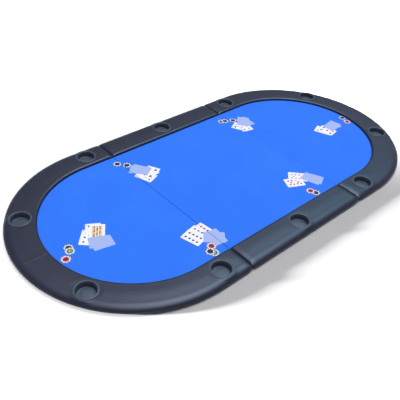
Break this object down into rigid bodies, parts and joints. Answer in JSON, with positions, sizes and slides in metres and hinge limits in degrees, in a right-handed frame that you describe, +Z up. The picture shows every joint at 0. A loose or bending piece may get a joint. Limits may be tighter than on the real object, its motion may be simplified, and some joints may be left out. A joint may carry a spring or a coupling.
{
  "type": "folding poker table top",
  "caption": "Oval folding poker table top: felt playing surface in hinged sections, padded rail and recessed cup holders; it lies on any table.",
  "frame": {"origin": "middle of the oval, on the plane of the feet's undersides", "axes": "+X along the length, +Y across the width, +Z up out of the playing surface"},
  "size_m": [2.08, 1.06, 0.0316],
  "materials": {
    "board": "black-sealed fibreboard, matt",
    "felt": "bright blue speed cloth, fine weave, matt",
    "rail_core": "bare plywood strip",
    "foam": "grey foam",
    "leatherette": "black leatherette with a fine grain, satin",
    "cup": "black moulded plastic",
    "steel": "zinc-plated hinge steel",
    "foot": "black rubber pad"
  },
  "bodies": {
    "middle": {"middle_board": "board", "middle_felt": "felt", "middle_far_rail_core": "rail_core", "middle_far_rail_pad": "foam", "middle_far_rail_cover": "leatherette", "middle_near_rail_core": "rail_core", "middle_near_rail_pad": "foam", "middle_near_rail_cover": "leatherette", "middle_cup_far": "cup", "middle_cup_near": "cup", "middle_foot_1": "foot", "middle_foot_2": "foot", "middle_foot_3": "foot", "middle_foot_4": "foot", "left_hinge_far_middle_leaf": "steel", "left_hinge_far_pin": "steel", "left_hinge_centre_middle_leaf": "steel", "left_hinge_centre_pin": "steel", "left_hinge_near_middle_leaf": "steel", "left_hinge_near_pin": "steel", "right_hinge_far_middle_leaf": "steel", "right_hinge_far_middle_pin": "steel", "right_hinge_near_middle_leaf": "steel", "right_hinge_near_middle_pin": "steel"},
    "left": {"left_board": "board", "left_felt": "felt", "left_rail_core": "rail_core", "left_rail_pad": "foam", "left_rail_cover": "leatherette", "left_cup_side_far": "cup", "left_cup_end_far": "cup", "left_cup_end_near": "cup", "left_cup_side_near": "cup", "left_foot_1": "foot", "left_foot_2": "foot", "left_foot_3": "foot", "left_hinge_far_left_leaf": "steel", "left_hinge_centre_left_leaf": "steel", "left_hinge_near_left_leaf": "steel"},
    "right_links": {"right_hinge_far_link": "steel", "right_hinge_near_link": "steel"},
    "right": {"right_board": "board", "right_felt": "felt", "right_rail_core": "rail_core", "right_rail_pad": "foam", "right_rail_cover": "leatherette", "right_cup_side_far": "cup", "right_cup_end_far": "cup", "right_cup_end_near": "cup", "right_cup_side_near": "cup", "right_foot_1": "foot", "right_foot_2": "foot", "right_foot_3": "foot", "right_hinge_far_right_leaf": "steel", "right_hinge_far_right_pin": "steel", "right_hinge_near_right_leaf": "steel", "right_hinge_near_right_pin": "steel"}
  },
  "joints": [
    {"name": "left_fold", "type": "hinge", "parent": "middle", "child": "left", "pos_m": [-0.34667, 0, 0.0025], "axis": [0, -1, 0], "range_deg": [0, 180]},
    {"name": "right_link_fold", "type": "hinge", "parent": "middle", "child": "right_links", "pos_m": [0.33017, 0, 0.0025], "axis": [0, 1, 0], "range_deg": [0, 90]},
    {"name": "right_fold", "type": "hinge", "parent": "right_links", "child": "right", "pos_m": [0.36317, 0, 0.0025], "axis": [0, 1, 0], "range_deg": [0, 90]}
  ],
  "couplings": [
    {"joint": "right_link_fold", "follows": "right_fold", "ratio": 1}
  ]
}
